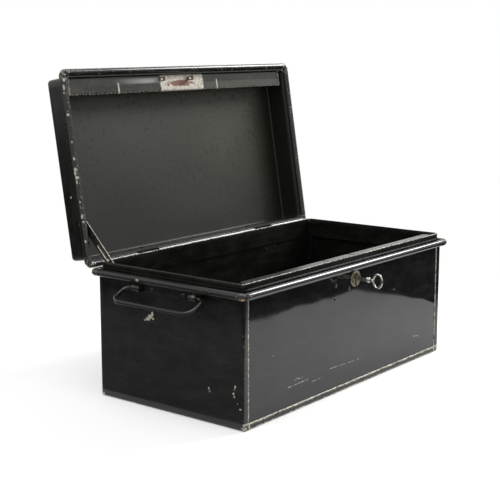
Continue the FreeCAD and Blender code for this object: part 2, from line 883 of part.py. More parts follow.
def write(name, shape):
    items = shape if isinstance(shape, list) else [shape]
    found = [s for item in items for s in item.Solids]
    body = found[0] if len(found) == 1 else Part.makeCompound(found)
    body.exportStep("parts/%s.step" % name)
    valid = all(s.isValid() for s in found)
    volume = sum(s.Volume for s in found)
    print("%-22s solids %2d volume %10.1f valid %s" % (name, len(found), volume, valid))


def rivets(places):
    return [rivet(*place) for place in places]


def main():
    os.makedirs("parts", exist_ok=True)
    write("wrapper", wrapper())
    write("front_panel", front_panel())
    write("back_panel", back_panel())
    write("neck", neck())
    write("rim_bead", rolled_rim(bead_level, neck_x, neck_y, neck_corner, panel_face))
    write("rim_wire", rim_core(bead_level, panel_face))
    write("lock_deck", lock_deck())
    write("hinge_leaves_body", hinge_leaves_body())
    write("hinge_pins", hinge_pins())
    write("hinge_rivets_body", rivets(body_hinge_rivets()))
    write("stay_stud", stay_stud())
    write("lock_case", lock_case())
    write("lock_cover", lock_cover())
    write("lock_cover_screws", cover_screws())
    write("lock_rivets", rivets(lock_rivets()))
    write("guide_pins", [guide_pin(x) for x in guide_xs])
    write("detent_spring", detent_spring())
    write("escutcheon", escutcheon())
    write("escutcheon_pins", escutcheon_pins())
    for side, name in ((-1, "left"), (1, "right")):
        write(name + "_handle_plate", handle_plate(side))
        write(name + "_handle_clips", handle_clips(side))
        write(name + "_handle_rivets", rivets(handle_rivets(side)))
        write(name + "_handle", handle_bail(side))
    write("lid_panel", lid_panel())
    write("lid_skirt", lid_skirt())
    write("lid_rim", lid_rim())
    write("lid_wire", lid_wire())
    write("hinge_leaves_lid", hinge_leaves_lid())
    write("hinge_rivets_lid", [opened(r) for r in rivets(lid_hinge_rivets())])
    write("catch_strip", catch_strip())
    write("catch_staples", catch_staples())
    write("catch_rivets", [opened(r) for r in rivets(catch_rivets())])
    write("stay_rivet", stay_rivet())
    write("stay_strip", stay_strip())
    write("bolt", bolt())
    write("key", key())
    pivot, stud, radius = stay_points()
    print("hinge", hinge_point, "stay pivot", pivot, "stud", stud)
    print("handle pivot", half_l + pivot_out, handle_level)


main()
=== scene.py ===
import json
import math

import bmesh
import bpy
import numpy as np
from mathutils import Matrix, Vector, noise


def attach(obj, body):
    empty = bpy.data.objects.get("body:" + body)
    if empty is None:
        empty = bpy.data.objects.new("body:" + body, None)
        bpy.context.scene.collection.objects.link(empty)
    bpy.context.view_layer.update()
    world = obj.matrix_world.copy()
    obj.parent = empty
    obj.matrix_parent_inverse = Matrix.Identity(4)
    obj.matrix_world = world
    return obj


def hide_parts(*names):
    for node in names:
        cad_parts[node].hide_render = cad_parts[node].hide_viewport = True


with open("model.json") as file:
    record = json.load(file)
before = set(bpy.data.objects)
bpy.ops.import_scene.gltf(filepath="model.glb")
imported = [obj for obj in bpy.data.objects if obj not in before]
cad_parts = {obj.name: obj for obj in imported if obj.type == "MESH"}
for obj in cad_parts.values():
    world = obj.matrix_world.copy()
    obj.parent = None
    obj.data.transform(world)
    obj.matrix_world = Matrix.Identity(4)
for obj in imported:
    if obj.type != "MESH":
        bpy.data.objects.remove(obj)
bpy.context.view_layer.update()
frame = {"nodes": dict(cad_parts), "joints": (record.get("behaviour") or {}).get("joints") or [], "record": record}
nodes = frame["nodes"]
joints = {j["name"]: j for j in frame["joints"]}

MM = 0.001

# Sizes shared with the CAD, in millimetres
HALF_L, HALF_W = 200.0, 102.0
SHEET = 1.0
BEAD_LEVEL, BEAD_R, BEAD_OFF, RIM_CORNER = 142.0, 4.0, 4.2, 4.6
SEAT = 146.2
NECK_X, NECK_Y, NECK_TOP, NECK_CORNER, NECK_DEPTH = 198.0, 100.0, 153.6, 4.0, 24.0
WALL_TOP = 141.5
LID_BEAD = 150.4
LID_TOP = 181.7
LID_CORNER, LID_EDGE = 5.0, 3.0
HINGE_X, NOTCH = 110.0, 18.0
LIP, BOTTOM_LIP, BODY_CORNER = 9.0, 7.5, 3.0
hinge = Vector(joints["lid_hinge"]["pos_m"])
OPEN = math.radians(joints["lid_hinge"]["range_deg"][1])
LID_TURN = Matrix.Translation(hinge) @ Matrix.Rotation(-OPEN, 4, "X") @ Matrix.Translation(-hinge)


# ---- meshes ----

def mesh_object(name, verts, faces, smooth=True, matrix=None):
    mesh = bpy.data.meshes.new(name)
    mesh.from_pydata([tuple(v) for v in verts], [], faces)
    mesh.validate()
    obj = bpy.data.objects.new(name, mesh)
    bpy.context.scene.collection.objects.link(obj)
    if matrix is not None:
        obj.matrix_world = matrix
    clean(obj)
    if smooth:
        mesh.shade_smooth()
    return obj


def clean(obj, merge=1e-6):
    bm = bmesh.new()
    bm.from_mesh(obj.data)
    bmesh.ops.remove_doubles(bm, verts=bm.verts, dist=merge)
    bmesh.ops.dissolve_degenerate(bm, dist=1e-7, edges=bm.edges)
    bmesh.ops.recalc_face_normals(bm, faces=bm.faces)
    bm.to_mesh(obj.data)
    bm.free()


def sharp_by_angle(obj, degrees=35):
    obj.data.set_sharp_from_angle(angle=math.radians(degrees))


def solidify(obj, thickness, offset=-1):
    m = obj.modifiers.new("sheet", "SOLIDIFY")
    m.thickness = thickness * MM
    m.offset = offset
    m.use_even_offset = False
    return m


def bevel(obj, width, segments=2, angle=30):
    m = obj.modifiers.new("edges", "BEVEL")
    m.width = width * MM
    m.segments = segments
    m.limit_method = "ANGLE"
    m.angle_limit = math.radians(angle)
    m.harden_normals = False
    return m


def steps(lo, hi, n):
    return list(np.linspace(lo, hi, n))


def ring(hx, hy, c, xs, ys, m=6):
    """Points and outward normals round a rounded rectangle, in step with any other ring of the same samples."""
    pts, nrm = [], []

    def side(a, b, n, samples, fixed, along_x):
        for v in [a] + samples + [b]:
            pts.append((v, fixed) if along_x else (fixed, v))
            nrm.append(n)

    def corner(sx, sy, start):
        for i in range(1, m):
            a = math.radians(start + 90 * i / m)
            pts.append((sx * (hx - c) + c * math.cos(a), sy * (hy - c) + c * math.sin(a)))
            nrm.append((math.cos(a), math.sin(a)))

    side(-(hx - c), hx - c, (0, -1), xs, -hy, True)
    corner(1, -1, -90)
    side(-(hy - c), hy - c, (1, 0), ys, hx, False)
    corner(1, 1, 0)
    side(hx - c, -(hx - c), (0, 1), xs[::-1], hy, True)
    corner(-1, 1, 90)
    side(hy - c, -(hy - c), (-1, 0), ys[::-1], -hx, False)
    corner(-1, -1, 180)
    return np.array(pts), np.array(nrm)


def loft(rows, around=False):
    """Faces between rows of equally many points; each row is a closed loop."""
    n = len(rows[0])
    verts = [p for row in rows for p in row]
    faces = []
    last = len(rows) if around else len(rows) - 1
    for k in range(last):
        a, b = k * n, ((k + 1) % len(rows)) * n
        for i in range(n):
            j = (i + 1) % n
            faces.append((a + i, a + j, b + j, b + i))
    return verts, faces


def wave(x, y, z, scale, seed):
    return noise.noise(Vector((x / scale + seed, y / scale - seed, z / scale + 2 * seed)))


XS = sorted(set(steps(-190, 190, 39) + [s * HINGE_X + e * NOTCH for s in (-1, 1) for e in (-1, 1)]))
YS = steps(-92, 92, 19)


def cut_notches(obj, above_y):
    """Takes out the faces behind the hinges and closes the ends."""
    bm = bmesh.new()
    bm.from_mesh(obj.data)
    doomed = []
    for f in bm.faces:
        c = f.calc_center_median() / MM
        if c.y > above_y and any(abs(c.x - s * HINGE_X) < NOTCH - 0.01 for s in (-1, 1)):
            doomed.append(f)
    bmesh.ops.delete(bm, geom=doomed, context="FACES")
    edges = [e for e in bm.edges if e.is_boundary]
    bmesh.ops.holes_fill(bm, edges=edges, sides=0)
    bmesh.ops.recalc_face_normals(bm, faces=bm.faces)
    bm.to_mesh(obj.data)
    bm.free()


def rolled_rim(name, level, inner, matrix=None, seed=0.0, web_reach=2.0, web_notched=True):
    """A web and a rolled edge round the box, with a pinched mitre at each corner."""
    hx, hy = HALF_L + BEAD_OFF, HALF_W + BEAD_OFF
    ix, iy, ic = inner
    profile = []
    turns = 22
    for i in range(turns):
        a = 2 * math.pi * i / turns
        profile.append((math.cos(a), math.sin(a)))
    rows = []
    for ca, sa in profile:
        o = BEAD_R * ca
        pts, nrm = ring(hx + o, hy + o, RIM_CORNER + o, XS, YS, 10)
        centre, _ = ring(hx, hy, RIM_CORNER, XS, YS, 10)
        row = []
        for p, c, n in zip(pts, centre, nrm):
            diagonal = min(abs(n[0]), abs(n[1])) / max(abs(n[0]), abs(n[1]))
            pinch = 1 - 0.22 * math.exp(-((1 - diagonal) / 0.16) ** 2)
            wob = 1 + 0.012 * wave(c[0], c[1], ca, 23.0, seed)
            q = c + (p - c) * pinch * wob
            row.append((q[0] * MM, q[1] * MM, (level + BEAD_R * sa * pinch * wob + 0.12 * wave(c[0], c[1], 0, 60.0, seed + 3)) * MM))
        rows.append(row)
    verts, faces = loft(rows, around=True)
    rim = mesh_object(name, verts, faces, matrix=matrix)
    cut_notches(rim, HALF_W)
    web_rows = []
    half = SHEET / 2
    for x, y, c, z in ((ix, iy, ic, level - half), (ix, iy, ic, level + half),
                       (hx - web_reach, hy - web_reach, RIM_CORNER - web_reach, level + half),
                       (hx - web_reach, hy - web_reach, RIM_CORNER - web_reach, level - half)):
        pts, _ = ring(x, y, c, XS, YS, 10)
        web_rows.append([(p[0] * MM, p[1] * MM, z * MM) for p in pts])
    verts, faces = loft(web_rows, around=True)
    web = mesh_object(name + "_web", verts, faces, matrix=matrix)
    sharp_by_angle(web)
    if web_notched:
        cut_notches(web, HALF_W)
    sharp_by_angle(rim, 60)
    return rim, web


def wrapper_mesh():
    """End walls and bottom in one sheet, with lips folded round the front and the back."""
    rf = 1.3
    outline = []
    r = BODY_CORNER
    for z in steps(WALL_TOP, r, 26):
        outline.append((-HALF_L, z, -1, 0))
    for i in range(1, 6):
        a = math.radians(180 + 90 * i / 6)
        outline.append((-HALF_L + r + r * math.cos(a), r + r * math.sin(a), math.cos(a), math.sin(a)))
    for x in steps(-HALF_L + r, HALF_L - r, 42):
        outline.append((x, 0, 0, -1))
    for i in range(1, 6):
        a = math.radians(270 + 90 * i / 6)
        outline.append((HALF_L - r + r * math.cos(a), r + r * math.sin(a), math.cos(a), math.sin(a)))
    for z in steps(r, WALL_TOP, 26):
        outline.append((HALF_L, z, 1, 0))
    inner_x = HALF_L - LIP
    across = steps(-HALF_W + rf, HALF_W - rf, 42)
    verts, n = [], 0
    for x, z, nx, nz in outline:
        ix = max(-inner_x, min(inner_x, x))
        iz = max(BOTTOM_LIP, z)
        row = []
        for side in (-1, 1):
            part = []
            cx, cz = x - nx * rf, z - nz * rf
            for t, back in ((0, 0.75), (0.08, 0.35), (0.2, 0.12), (0.45, 0), (0.75, 0), (1, 0)):
                part.append((ix + (cx - ix) * t, side * (HALF_W - back), iz + (cz - iz) * t))
            for deg in (22, 45, 67):
                a = math.radians(deg)
                part.append((cx + nx * rf * math.sin(a), side * (HALF_W - rf + rf * math.cos(a)), cz + nz * rf * math.sin(a)))
            row.append(part)
        middle = []
        for y in across:
            fade = min(1, (HALF_W - abs(y)) / 18) * (min(1, z / 18) if nx else 1) * min(1, max(0, (WALL_TOP + 2 - z)) / 16)
            d = (0.55 * wave(x * 0.3, y, z, 55, 1.7) + 0.2 * wave(x * .3, y, z, 24, 4.1)) * fade * (1 if nx else 0)
            middle.append((x + nx * d * 0.8 - nx * 0.15 * fade, y, z))
        full = row[0] + middle + row[1][::-1]
        n = len(full)
        verts += [(a * MM, b * MM, c * MM) for a, b, c in full]
    faces = []
    for k in range(len(outline) - 1):
        for i in range(n - 1):
            a = k * n + i
            faces.append((a, a + 1, a + n + 1, a + n))
    obj = mesh_object("body_wrapper", verts, faces)
    orient_out(obj, Vector((0, 0, 0.07)))
    sharp_by_angle(obj, 50)
    solidify(obj, SHEET)
    return obj


def orient_out(obj, centre):
    """Makes the faces of an open sheet look away from centre."""
    total = 0.0
    for p in obj.data.polygons:
        total += p.normal.dot(p.center - centre) * p.area
    if total < 0:
        obj.data.flip_normals()


def front_panel_mesh():
    """The front panel with its side flanges, a little wavy, with the keyhole cut through it."""
    hx = HALF_L - SHEET
    y0 = -(HALF_W - SHEET)
    xs = [-hx] + steps(-hx + 1.2, hx - 1.2, 110) + [hx]
    zs = steps(SHEET + 0.4, WALL_TOP, 44)
    verts = []
    cols = [(-hx, y0 + 6)] + [(x, y0) for x in xs] + [(hx, y0 + 6)]
    for z in zs:
        for x, y in cols:
            fade = min(1, max(0, HALF_L - LIP - abs(x)) / 26) * min(1, max(0, z - BOTTOM_LIP) / 22) * min(1, (WALL_TOP - z) / 20)
            near_lock = 1 - math.exp(-(((x - 5) / 42) ** 2 + ((z - 124) / 26) ** 2))
            d = (0.5 * wave(x, 0, z * 0.7, 88, 7.3) + 0.06 * wave(x, 0, z, 34, 2.9)) * fade * near_lock
            verts.append((x * MM, (y + d + 0.0) * MM, z * MM))
    n = len(cols)
    faces = []
    for k in range(len(zs) - 1):
        for i in range(n - 1):
            a = k * n + i
            faces.append((a, a + 1, a + n + 1, a + n))
    obj = mesh_object("body_front", verts, faces)
    orient_out(obj, Vector((0, 0, 0.07)))
    solidify(obj, SHEET)
    cutter = keyhole_cutter(-0.110, -0.090)
    cut = obj.modifiers.new("keyhole", "BOOLEAN")
    cut.operation = "DIFFERENCE"
    cut.solver = "EXACT"
    cut.object = cutter
    apply_modifiers(obj)
    bpy.data.objects.remove(cutter)
    sharp_by_angle(obj, 40)
    return obj


def apply_modifiers(obj):
    dg = bpy.context.evaluated_depsgraph_get()
    dg.update()
    made = bpy.data.meshes.new_from_object(obj.evaluated_get(dg))
    obj.modifiers.clear()
    old = obj.data
    obj.data = made
    bpy.data.meshes.remove(old)


KEY_X, KEY_Z = 5.0, 127.0
KEYHOLE_R, KEYSLOT_W, KEYSLOT_DROP = 2.3, 2.6, 9.8


def keyhole_outline(grow=0.0):
    r = KEYHOLE_R + grow
    w = KEYSLOT_W / 2 + grow
    a0 = math.asin(w / r)
    pts = []
    for i in range(25):
        a = -math.pi / 2 + a0 + (2 * math.pi - 2 * a0) * i / 24
        pts.append((KEY_X + r * math.cos(a), KEY_Z + r * math.sin(a)))
    pts += [(KEY_X - w, KEY_Z - KEYSLOT_DROP - grow), (KEY_X + w, KEY_Z - KEYSLOT_DROP - grow)]
    return pts


def prism_y(name, outline, y0, y1):
    n = len(outline)
    verts = [(x * MM, y0, z * MM) for x, z in outline] + [(x * MM, y1, z * MM) for x, z in outline]
    faces = [tuple(range(n)), tuple(range(2 * n - 1, n - 1, -1))]
    faces += [(i, (i + 1) % n, n + (i + 1) % n, n + i) for i in range(n)]
    return mesh_object(name, verts, faces, smooth=False)


def keyhole_cutter(y0, y1):
    return prism_y("cutter", keyhole_outline(), y0, y1)


def lid_top_z(x, y):
    """Height of the lid's top, which sags and ripples a little inside its rounded edge."""
    inset = min(HALF_L - abs(x), HALF_W - abs(y))
    fade = min(1, max(0, inset - LID_EDGE) / 16)
    return LID_TOP + (0.8 * wave(x, y, 0, 95, 5.2) + 0.15 * wave(x, y, 0, 35, 8.8) - 0.5) * fade


def lid_tray_mesh():
    """The lid's skirts and top panel, drawn closed and turned open."""
    rows = []
    base = LID_BEAD + SHEET / 2
    rings = [(0, base + 0.05), (0, base + 6), (0, base + 12), (0, base + 18), (0, base + 24), (0, LID_TOP - LID_EDGE)]
    for i in range(1, 6):
        a = math.radians(90 * i / 5)
        rings.append((LID_EDGE * (1 - math.cos(a)), LID_TOP - LID_EDGE + LID_EDGE * math.sin(a)))
    for inset in (5, 8, 12):
        rings.append((inset, LID_TOP))
    for inset, z in rings:
        c = max(0.0, LID_CORNER - inset)
        hx, hy = HALF_L - inset, HALF_W - inset
        pts, nrm = ring(hx, hy, c, XS, YS, 6)
        row = []
        for p, n in zip(pts, nrm):
            x = max(-hx, min(hx, p[0]))
            y = max(-hy, min(hy, p[1]))
            if inset < LID_EDGE + 0.1:
                d = 0.25 * wave(x, y, z, 70, 9.1) * min(1, max(0, (z - base)) / 12) * (1 if inset == 0 else 0.4)
                row.append(((x + n[0] * d) * MM, (y + n[1] * d) * MM, z * MM))
            else:
                row.append((x * MM, y * MM, lid_top_z(x, y) * MM))
        rows.append(row)
    verts, faces = loft(rows)
    gx = sorted({max(-188.0, min(188.0, x)) for x in XS + [-188.0, 188.0]})
    gy = sorted({max(-90.0, min(90.0, y)) for y in YS + [-90.0, 90.0]})
    start = len(verts)
    verts += [(x * MM, y * MM, lid_top_z(x, y) * MM) for y in gy for x in gx]
    w = len(gx)
    for r in range(len(gy) - 1):
        for k in range(w - 1):
            a = start + r * w + k
            faces.append((a, a + 1, a + w + 1, a + w))
    obj = mesh_object("lid_tray_sheet", verts, faces, matrix=LID_TURN)
    orient_out(obj, Vector((0, 0, 0.14)))
    sharp_by_angle(obj, 50)
    solidify(obj, SHEET)
    return obj


def catch_strip_mesh():
    """The strip inside the lid's front: a leg on the skirt, a shelf and a turned-up edge."""
    z0, y0, y1, r = 155.0, -101.0, -81.0, 1.6
    profile = [(y0, z0 + 14), (y0, z0 + 8), (y0, z0 + r)]
    profile += [(y0 + r - r * math.cos(math.radians(a)), z0 + r - r * math.sin(math.radians(a))) for a in (22, 45, 67, 90)]
    profile += [(y, z0) for y in steps(y0 + r + 1, y1 - r - 1, 8)]
    profile += [(y1 - r + r * math.sin(math.radians(a)), z0 + r - r * math.cos(math.radians(a))) for a in (0, 22, 45, 67, 90)]
    profile += [(y1, z0 + 4)]
    xs = steps(-194.5, 194.5, 80)
    verts = []
    for x in xs:
        for y, z in profile:
            flat = max(0, 1 - abs(y + 91) / 10)
            d = (0.5 * wave(x, y * 0.5, 0, 60, 3.9) + 0.2 * wave(x, y, 0, 17, 6.1)) * flat
            verts.append((x * MM, y * MM, (z + max(-1.0, d)) * MM))
    n = len(profile)
    faces = [(k * n + i, k * n + i + 1, (k + 1) * n + i + 1, (k + 1) * n + i) for k in range(len(xs) - 1) for i in range(n - 1)]
    obj = mesh_object("lid_catch_strip", verts, faces, matrix=LID_TURN)
    orient_out(obj, Vector((0, -0.091, 0.165)))
    sharp_by_angle(obj, 50)
    solidify(obj, SHEET)
    return obj


def neck_mesh():
    """The collar, with a rounded top edge that isn't quite straight."""
    t = SHEET
    rows = []
    low = NECK_TOP - NECK_DEPTH
    profile = [(0, low), (0, NECK_TOP - 8), (0, NECK_TOP - 0.5)]
    profile += [(0.5 - 0.5 * math.cos(math.radians(a)), NECK_TOP - 0.5 + 0.5 * math.sin(math.radians(a))) for a in (30, 60, 90, 120, 150)]
    profile += [(t, NECK_TOP - 0.5), (t, NECK_TOP - 8), (t, low)]
    for inset, z in profile:
        pts, nrm = ring(NECK_X - inset, NECK_Y - inset, NECK_CORNER - inset, XS, YS, 8)
        row = []
        for p, n in zip(pts, nrm):
            lift = min(1, max(0, (z - low)) / 10)
            d = 0.22 * wave(p[0], p[1], 0, 42, 6.6) * lift
            row.append(((p[0] + n[0] * d) * MM, (p[1] + n[1] * d) * MM, (z + 0.10 * wave(p[0], p[1], 5, 30, 1.2) * lift) * MM))
        rows.append(row)
    verts, faces = loft(rows, around=True)
    obj = mesh_object("body_neck", verts, faces)
    sharp_by_angle(obj, 50)
    return obj


def tube(name, points, radius, cyclic=False, order=3, matrix=None, resolution=8, bevel_res=5):
    """Round wire along a smooth line, as a mesh."""
    curve = bpy.data.curves.new(name, "CURVE")
    curve.dimensions = "3D"
    curve.resolution_u = resolution
    curve.bevel_depth = radius * MM
    curve.bevel_resolution = bevel_res
    curve.use_fill_caps = True
    s = curve.splines.new("NURBS")
    s.points.add(len(points) - 1)
    for p, q in zip(s.points, points):
        p.co = (q[0] * MM, q[1] * MM, q[2] * MM, 1)
    s.use_cyclic_u = cyclic
    s.order_u = order
    s.use_endpoint_u = not cyclic
    temp = bpy.data.objects.new(name + "_line", curve)
    bpy.context.scene.collection.objects.link(temp)
    dg = bpy.context.evaluated_depsgraph_get()
    mesh = bpy.data.meshes.new_from_object(temp.evaluated_get(dg))
    bpy.data.objects.remove(temp)
    obj = bpy.data.objects.new(name, mesh)
    bpy.context.scene.collection.objects.link(obj)
    if matrix is not None:
        obj.matrix_world = matrix
    mesh.shade_smooth()
    return obj


def lathe(name, profile, centre, axis, segments=48):
    """Turns (radius, along) pairs round an axis through centre."""
    axis = Vector(axis).normalized()
    side = axis.orthogonal().normalized()
    up = axis.cross(side)
    verts, faces = [], []
    n = len(profile)
    for i in range(segments):
        a = 2 * math.pi * i / segments
        d = side * math.cos(a) + up * math.sin(a)
        for r, t in profile:
            verts.append((Vector(centre) + d * r + axis * t) * MM)
    for i in range(segments):
        j = (i + 1) % segments
        for k in range(n - 1):
            faces.append((i * n + k, i * n + k + 1, j * n + k + 1, j * n + k))
    return mesh_object(name, verts, faces)


def keyhole_plate_mesh():
    """A round plate with a raised ring at its edge and a dished middle, pierced by the keyhole."""
    face = 101.0
    profile = [(0.0, 0.0), (9.8, 0.0), (9.8, 0.5), (9.5, 1.05), (9.0, 1.35), (8.4, 1.4), (7.8, 1.25), (7.3, 0.85), (6.6, 0.8),
               (4.6, 0.95), (3.4, 1.1), (0.0, 1.1)]
    obj = lathe("keyhole_plate", profile, (KEY_X, -face, KEY_Z), (0, -1, 0), 72)
    cutter = keyhole_cutter(-0.106, -0.099)
    cut = obj.modifiers.new("keyhole", "BOOLEAN")
    cut.operation = "DIFFERENCE"
    cut.solver = "EXACT"
    cut.object = cutter
    apply_modifiers(obj)
    bpy.data.objects.remove(cutter)
    sharp_by_angle(obj, 40)
    return obj


def key_meshes():
    """Oval bow, turned shank with collars, and a notched bit."""
    face, centre = -101.0, -130.7
    pts = []
    for i in range(24):
        a = 2 * math.pi * i / 24
        pts.append((KEY_X, centre + 5.8 * math.cos(a), KEY_Z + 7.7 * math.sin(a)))
    bow = tube("key_bow", pts, 1.2, cyclic=True, order=4, resolution=4, bevel_res=6)
    start = -(centre + 5.8) + 0.9
    tip = 91.0
    rows = [(start, 0.0), (start, 1.4), (start - 1.2, 2.1), (start - 2.6, 2.2), (start - 3.6, 1.5), (120.6, 1.55), (120.3, 2.2),
            (119.7, 3.1), (118.8, 3.2), (118.0, 2.9), (117.6, 2.1), (117.2, 2.6), (116.6, 2.6), (116.2, 1.95), (tip + 0.8, 1.95),
            (tip, 1.3), (tip, 0.0)]
    shank = lathe("key_shank", [(r, t) for t, r in rows], (KEY_X, 0, KEY_Z), (0, -1, 0), 32)
    sharp_by_angle(shank, 50)
    outline = [(-96.9, -1.0), (-92.9, -1.0), (-92.9, -9.0), (-94.1, -9.0), (-94.1, -6.2), (-94.9, -6.2), (-94.9, -9.0), (-96.9, -9.0)]
    n = len(outline)
    verts = [((KEY_X - 0.8) * MM, y * MM, (KEY_Z + z) * MM) for y, z in outline]
    verts += [((KEY_X + 0.8) * MM, y * MM, (KEY_Z + z) * MM) for y, z in outline]
    faces = [tuple(range(n)), tuple(range(2 * n - 1, n - 1, -1))]
    faces += [(i, (i + 1) % n, n + (i + 1) % n, n + i) for i in range(n)]
    bit = mesh_object("key_bit", verts, faces, smooth=False)
    bevel(bit, 0.15)
    return bow, shank, bit


# ---- materials ----

class Shade:
    """Short forms for building a node material."""

    def __init__(self, name):
        self.mat = bpy.data.materials.new(name)
        self.mat.use_nodes = True
        self.nt = self.mat.node_tree
        self.nt.nodes.clear()
        self.out = self.nt.nodes.new("ShaderNodeOutputMaterial")
        self.bsdf = self.nt.nodes.new("ShaderNodeBsdfPrincipled")
        self.nt.links.new(self.bsdf.outputs[0], self.out.inputs["Surface"])
        coord = self.nt.nodes.new("ShaderNodeTexCoord")
        self.pos = coord.outputs["Object"]
        split = self.nt.nodes.new("ShaderNodeSeparateXYZ")
        self.nt.links.new(self.pos, split.inputs[0])
        self.axes = {"x": split.outputs[0], "y": split.outputs[1], "z": split.outputs[2]}
        for a in "xy":
            self.axes["a" + a] = self.math("ABSOLUTE", self.axes[a])
        self.normal = None

    def put(self, socket, value):
        if isinstance(value, bpy.types.NodeSocket):
            self.nt.links.new(value, socket)
        elif isinstance(value, (tuple, list)) and len(value) == 3 and socket.type == "RGBA":
            socket.default_value = (*value, 1)
        else:
            socket.default_value = value

    def math(self, op, a, b=None, c=None, clamp=False):
        n = self.nt.nodes.new("ShaderNodeMath")
        n.operation = op
        n.use_clamp = clamp
        for s, v in zip(n.inputs, (a, b, c)):
            if v is not None:
                self.put(s, v)
        return n.outputs[0]

    def noise(self, scale, detail=3, rough=0.55, stretch=(1, 1, 1), shift=(0, 0, 0), distort=0.0):
        m = self.nt.nodes.new("ShaderNodeMapping")
        self.put(m.inputs["Vector"], self.pos)
        m.inputs["Scale"].default_value = stretch
        m.inputs["Location"].default_value = shift
        n = self.nt.nodes.new("ShaderNodeTexNoise")
        self.put(n.inputs["Vector"], m.outputs[0])
        n.inputs["Scale"].default_value = scale
        n.inputs["Detail"].default_value = detail
        n.inputs["Roughness"].default_value = rough
        n.inputs["Distortion"].default_value = distort
        return n.outputs["Fac"]

    def smooth(self, value, lo, hi, to_lo=0.0, to_hi=1.0):
        n = self.nt.nodes.new("ShaderNodeMapRange")
        n.interpolation_type = "SMOOTHSTEP"
        self.put(n.inputs["Value"], value)
        n.inputs["From Min"].default_value = lo
        n.inputs["From Max"].default_value = hi
        n.inputs["To Min"].default_value = to_lo
        n.inputs["To Max"].default_value = to_hi
        return n.outputs[0]

    def mix(self, fac, a, b):
        n = self.nt.nodes.new("ShaderNodeMix")
        n.data_type = "RGBA"
        self.put(n.inputs[0], fac)
        self.put(n.inputs[6], a)
        self.put(n.inputs[7], b)
        return n.outputs[2]

    def mixf(self, fac, a, b):
        n = self.nt.nodes.new("ShaderNodeMix")
        n.data_type = "FLOAT"
        self.put(n.inputs[0], fac)
        self.put(n.inputs[2], a)
        self.put(n.inputs[3], b)
        return n.outputs[0]

    def band(self, axis, value, half, soft=0.35):
        """1 where the coordinate is within half of value, in millimetres."""
        d = self.math("ABSOLUTE", self.math("SUBTRACT", self.axes[axis], value * MM))
        return self.smooth(d, half * MM, half * (1 + soft) * MM, 1.0, 0.0)

    def product(self, *values):
        out = values[0]
        for v in values[1:]:
            out = self.math("MULTIPLY", out, v)
        return out

    def most(self, *values):
        out = values[0]
        for v in values[1:]:
            out = self.math("MAXIMUM", out, v)
        return out

    def spot(self, centre, size, warp):
        """A ragged patch round a point; size is its half extents in millimetres."""
        m = self.nt.nodes.new("ShaderNodeVectorMath")
        m.operation = "SUBTRACT"
        self.put(m.inputs[0], self.pos)
        m.inputs[1].default_value = [c * MM for c in centre]
        d = self.nt.nodes.new("ShaderNodeVectorMath")
        d.operation = "DIVIDE"
        self.put(d.inputs[0], m.outputs[0])
        d.inputs[1].default_value = [s * MM for s in size]
        ln = self.nt.nodes.new("ShaderNodeVectorMath")
        ln.operation = "LENGTH"
        self.put(ln.inputs[0], d.outputs[0])
        v = self.math("ADD", ln.outputs["Value"], self.math("MULTIPLY", self.math("SUBTRACT", warp, 0.5), 2.0))
        return self.smooth(v, 0.85, 1.0, 1.0, 0.0)

    def bump(self, height, distance, strength=1.0):
        n = self.nt.nodes.new("ShaderNodeBump")
        n.inputs["Distance"].default_value = distance * MM
        n.inputs["Strength"].default_value = strength
        self.put(n.inputs["Height"], height)
        if self.normal is not None:
            self.put(n.inputs["Normal"], self.normal)
        self.normal = n.outputs[0]
        self.put(self.bsdf.inputs["Normal"], self.normal)

    def finish(self, color, roughness, metallic=0.0, ior=1.5):
        self.put(self.bsdf.inputs["Base Color"], color)
        self.put(self.bsdf.inputs["Roughness"], roughness)
        self.put(self.bsdf.inputs["Metallic"], metallic)
        self.bsdf.inputs["IOR"].default_value = ior
        return self.mat


BLACK = (0.0105, 0.0105, 0.0092)
PALE = (0.60, 0.57, 0.47)
RUST = (0.17, 0.075, 0.035)


